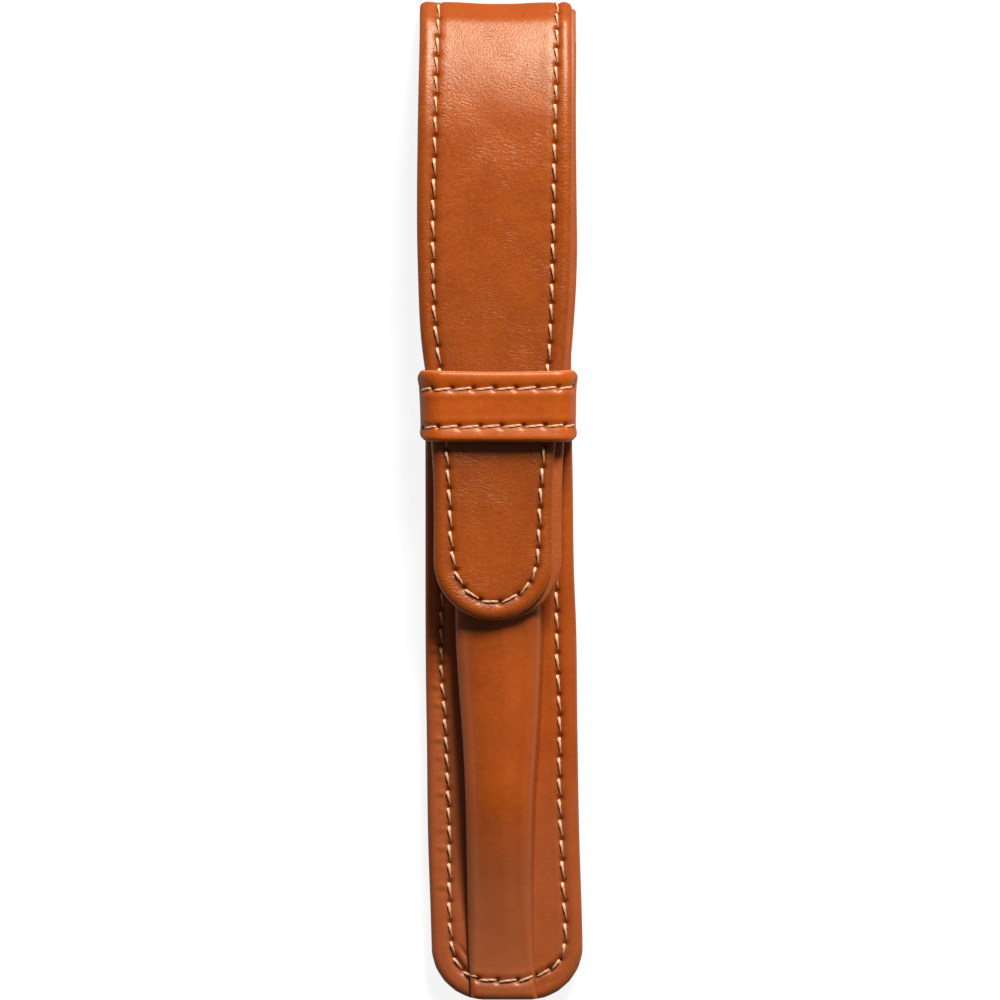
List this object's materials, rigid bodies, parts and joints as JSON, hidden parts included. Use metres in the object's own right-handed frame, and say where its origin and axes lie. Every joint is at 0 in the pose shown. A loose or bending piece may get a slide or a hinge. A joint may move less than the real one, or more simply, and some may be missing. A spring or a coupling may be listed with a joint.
{
  "type": "pen sleeve",
  "caption": "Narrow leather sleeve for one pen, with a pleated channel, a flap over the top and a tongue tucked under a keeper loop.",
  "frame": {"origin": "middle of the sleeve's footprint, on the surface that it lies on", "axes": "+Z out of the front, +Y towards the top fold, +X to the right seen from the front"},
  "size_m": [0.0264, 0.165, 0.0134],
  "materials": {
    "outer_leather": "smooth vegetable-tanned tan leather with fine grain and a soft sheen",
    "lining_leather": "matt tan lining leather with burnished edges",
    "thread": "waxed cream twisted thread"
  },
  "bodies": {
    "sleeve": {"back_leather": "outer_leather", "back_lining": "lining_leather", "pocket_front": "outer_leather", "keeper_leather": "outer_leather", "keeper_lining": "lining_leather", "back_stitches": "thread", "pocket_stitches": "thread", "fold_stitches": "thread", "keeper_upper_stitches": "thread", "keeper_lower_stitches": "thread"},
    "flap_upper": {"flap_upper_leather": "outer_leather", "flap_upper_lining": "lining_leather", "flap_upper_stitches": "thread"},
    "flap_lower": {"flap_lower_leather": "outer_leather", "flap_lower_lining": "lining_leather", "flap_lower_stitches": "thread"},
    "tongue": {"tongue_leather": "outer_leather", "tongue_lining": "lining_leather", "tongue_stitches": "thread"}
  },
  "joints": [
    {"name": "flap_bend_top", "type": "hinge", "parent": "sleeve", "child": "flap_upper", "pos_m": [0, 0.077, 0.0114], "axis": [-1, 0, 0], "range_deg": [0, 82]},
    {"name": "flap_bend_middle", "type": "hinge", "parent": "flap_upper", "child": "flap_lower", "pos_m": [0, 0.0496, 0.0089], "axis": [1, 0, 0], "range_deg": [0, 164]},
    {"name": "flap_bend_keeper", "type": "hinge", "parent": "flap_lower", "child": "tongue", "pos_m": [0, 0.0222, 0.0114], "axis": [-1, 0, 0], "range_deg": [0, 82]}
  ],
  "couplings": [
    {"joint": "flap_bend_middle", "follows": "flap_bend_top", "ratio": 2},
    {"joint": "flap_bend_keeper", "follows": "flap_bend_top", "ratio": 1}
  ]
}
